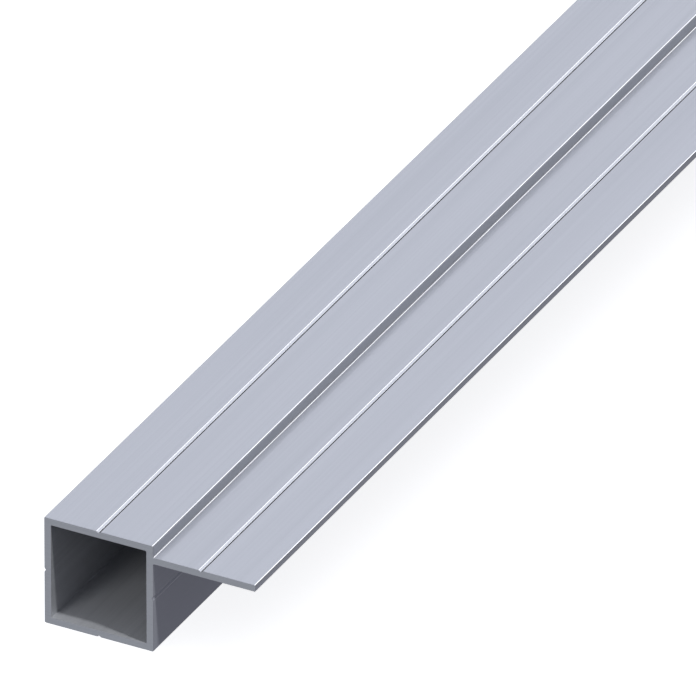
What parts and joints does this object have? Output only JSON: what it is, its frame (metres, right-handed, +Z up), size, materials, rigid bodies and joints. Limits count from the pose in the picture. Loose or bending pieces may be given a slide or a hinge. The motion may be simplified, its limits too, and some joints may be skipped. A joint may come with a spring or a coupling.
{
  "type": "aluminium extrusion profile",
  "caption": "Long square aluminium tube with one flat fin standing off its side, a step below the top face, and fine marking grooves along its faces.",
  "frame": {"origin": "middle of the bounding box, at the level of the tube's bottom face, halfway along the bar", "axes": "+Y along the bar, +Z up from the tube's bottom face to its top face, +X from the tube towards the fin's tip"},
  "size_m": [0.0454, 1, 0.0235],
  "materials": {
    "aluminium": "satin silver anodised, fine drawn lines along the length, sawn ends"
  },
  "bodies": {
    "root": {"profile": "aluminium"}
  },
  "joints": []
}
